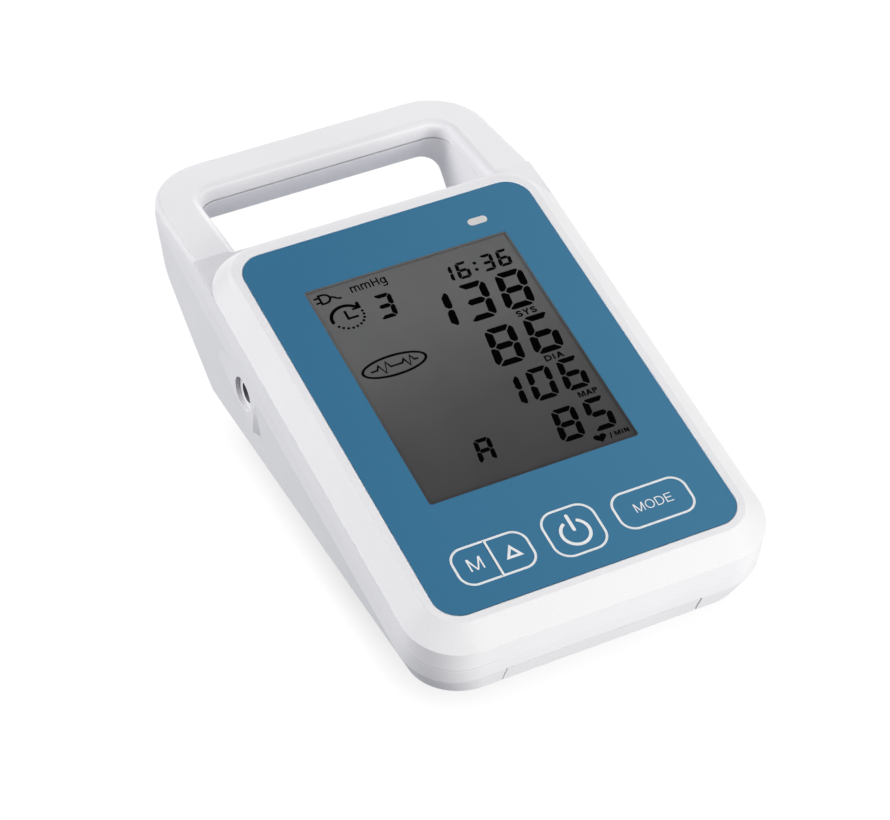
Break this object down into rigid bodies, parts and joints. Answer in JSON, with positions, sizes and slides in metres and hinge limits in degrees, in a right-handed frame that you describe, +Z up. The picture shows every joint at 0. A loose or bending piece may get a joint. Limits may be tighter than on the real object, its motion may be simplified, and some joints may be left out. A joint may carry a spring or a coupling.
{
  "type": "blood pressure monitor",
  "caption": "Desktop blood pressure monitor with a sloping key panel and display, a carrying handle at the rear, a cuff hose socket in the left wall and a sliding battery door underneath.",
  "frame": {"origin": "middle of the footprint on the surface the feet stand on", "axes": "+X to the right of someone reading the display, +Y back towards the handle, +Z up"},
  "size_m": [0.1258, 0.227, 0.0644],
  "materials": {
    "white_shell": "fine moulded texture",
    "blue_sheet": "satin printed sheet",
    "blue_key": "satin printed key cap",
    "window": "clear, anti-glare",
    "display": "liquid crystal panel",
    "light_guide": "diffusing",
    "white_inner": "moulded",
    "black_inner": "moulded",
    "elastomer": "soft",
    "light_lens": "frosted",
    "board": "solder mask",
    "screw_steel": "zinc plated",
    "socket_plastic": "moulded",
    "silicone": "translucent silicone",
    "motor_steel": "drawn can",
    "wire": "insulated wire",
    "cell_jacket": "plain sleeve",
    "spring_steel": "nickel plated",
    "plunger": "moulded",
    "foot_rubber": "matt"
  },
  "bodies": {
    "housing": {"upper_housing": "white_shell", "lower_housing": "white_shell", "panel_sheet": "blue_sheet", "display_window": "window", "liquid_crystal_display": "display", "display_backlight": "light_guide", "display_contact_strips": "elastomer", "display_holder_frame": "white_inner", "status_light_lens": "light_lens", "status_lamp": "light_lens", "key_switches": "black_inner", "main_circuit_board": "board", "board_chips": "black_inner", "board_screws": "screw_steel", "housing_screws": "screw_steel", "buzzer": "black_inner", "cuff_socket": "socket_plastic", "socket_gasket": "foot_rubber", "air_manifold": "white_inner", "socket_tube": "silicone", "pump_tube": "silicone", "valve_tube": "silicone", "sensor_tube": "silicone", "air_pump_head": "black_inner", "air_pump_motor": "motor_steel", "pump_cradle": "elastomer", "exhaust_valve": "motor_steel", "pressure_sensor": "black_inner", "adapter_jack": "black_inner", "adapter_jack_leads": "wire", "battery_cells": "cell_jacket", "battery_springs": "spring_steel", "battery_contact_plates": "spring_steel", "battery_leads": "wire", "rubber_feet": "foot_rubber"},
    "memory_key": {"memory_key": "blue_key", "memory_switch_plunger": "plunger"},
    "up_key": {"up_key": "blue_key", "up_switch_plunger": "plunger"},
    "power_key": {"power_key": "blue_key", "power_switch_plunger": "plunger"},
    "mode_key": {"mode_key": "blue_key", "mode_switch_plunger": "plunger"},
    "battery_door": {"battery_door": "white_shell"}
  },
  "joints": [
    {"name": "memory_key_press", "type": "slide", "parent": "housing", "child": "memory_key", "axis": [0, 0.2053, -0.9787], "range_m": [0, 0.0008], "stiffness_N_per_m": 1500, "springref_m": -0.0002},
    {"name": "up_key_press", "type": "slide", "parent": "housing", "child": "up_key", "axis": [0, 0.2053, -0.9787], "range_m": [0, 0.0008], "stiffness_N_per_m": 1500, "springref_m": -0.0002},
    {"name": "power_key_press", "type": "slide", "parent": "housing", "child": "power_key", "axis": [0, 0.2053, -0.9787], "range_m": [0, 0.0008], "stiffness_N_per_m": 1500, "springref_m": -0.0002},
    {"name": "mode_key_press", "type": "slide", "parent": "housing", "child": "mode_key", "axis": [0, 0.2053, -0.9787], "range_m": [0, 0.0008], "stiffness_N_per_m": 1500, "springref_m": -0.0002},
    {"name": "battery_door_slide", "type": "slide", "parent": "housing", "child": "battery_door", "axis": [0, -1, 0], "range_m": [0, 0.075]}
  ]
}
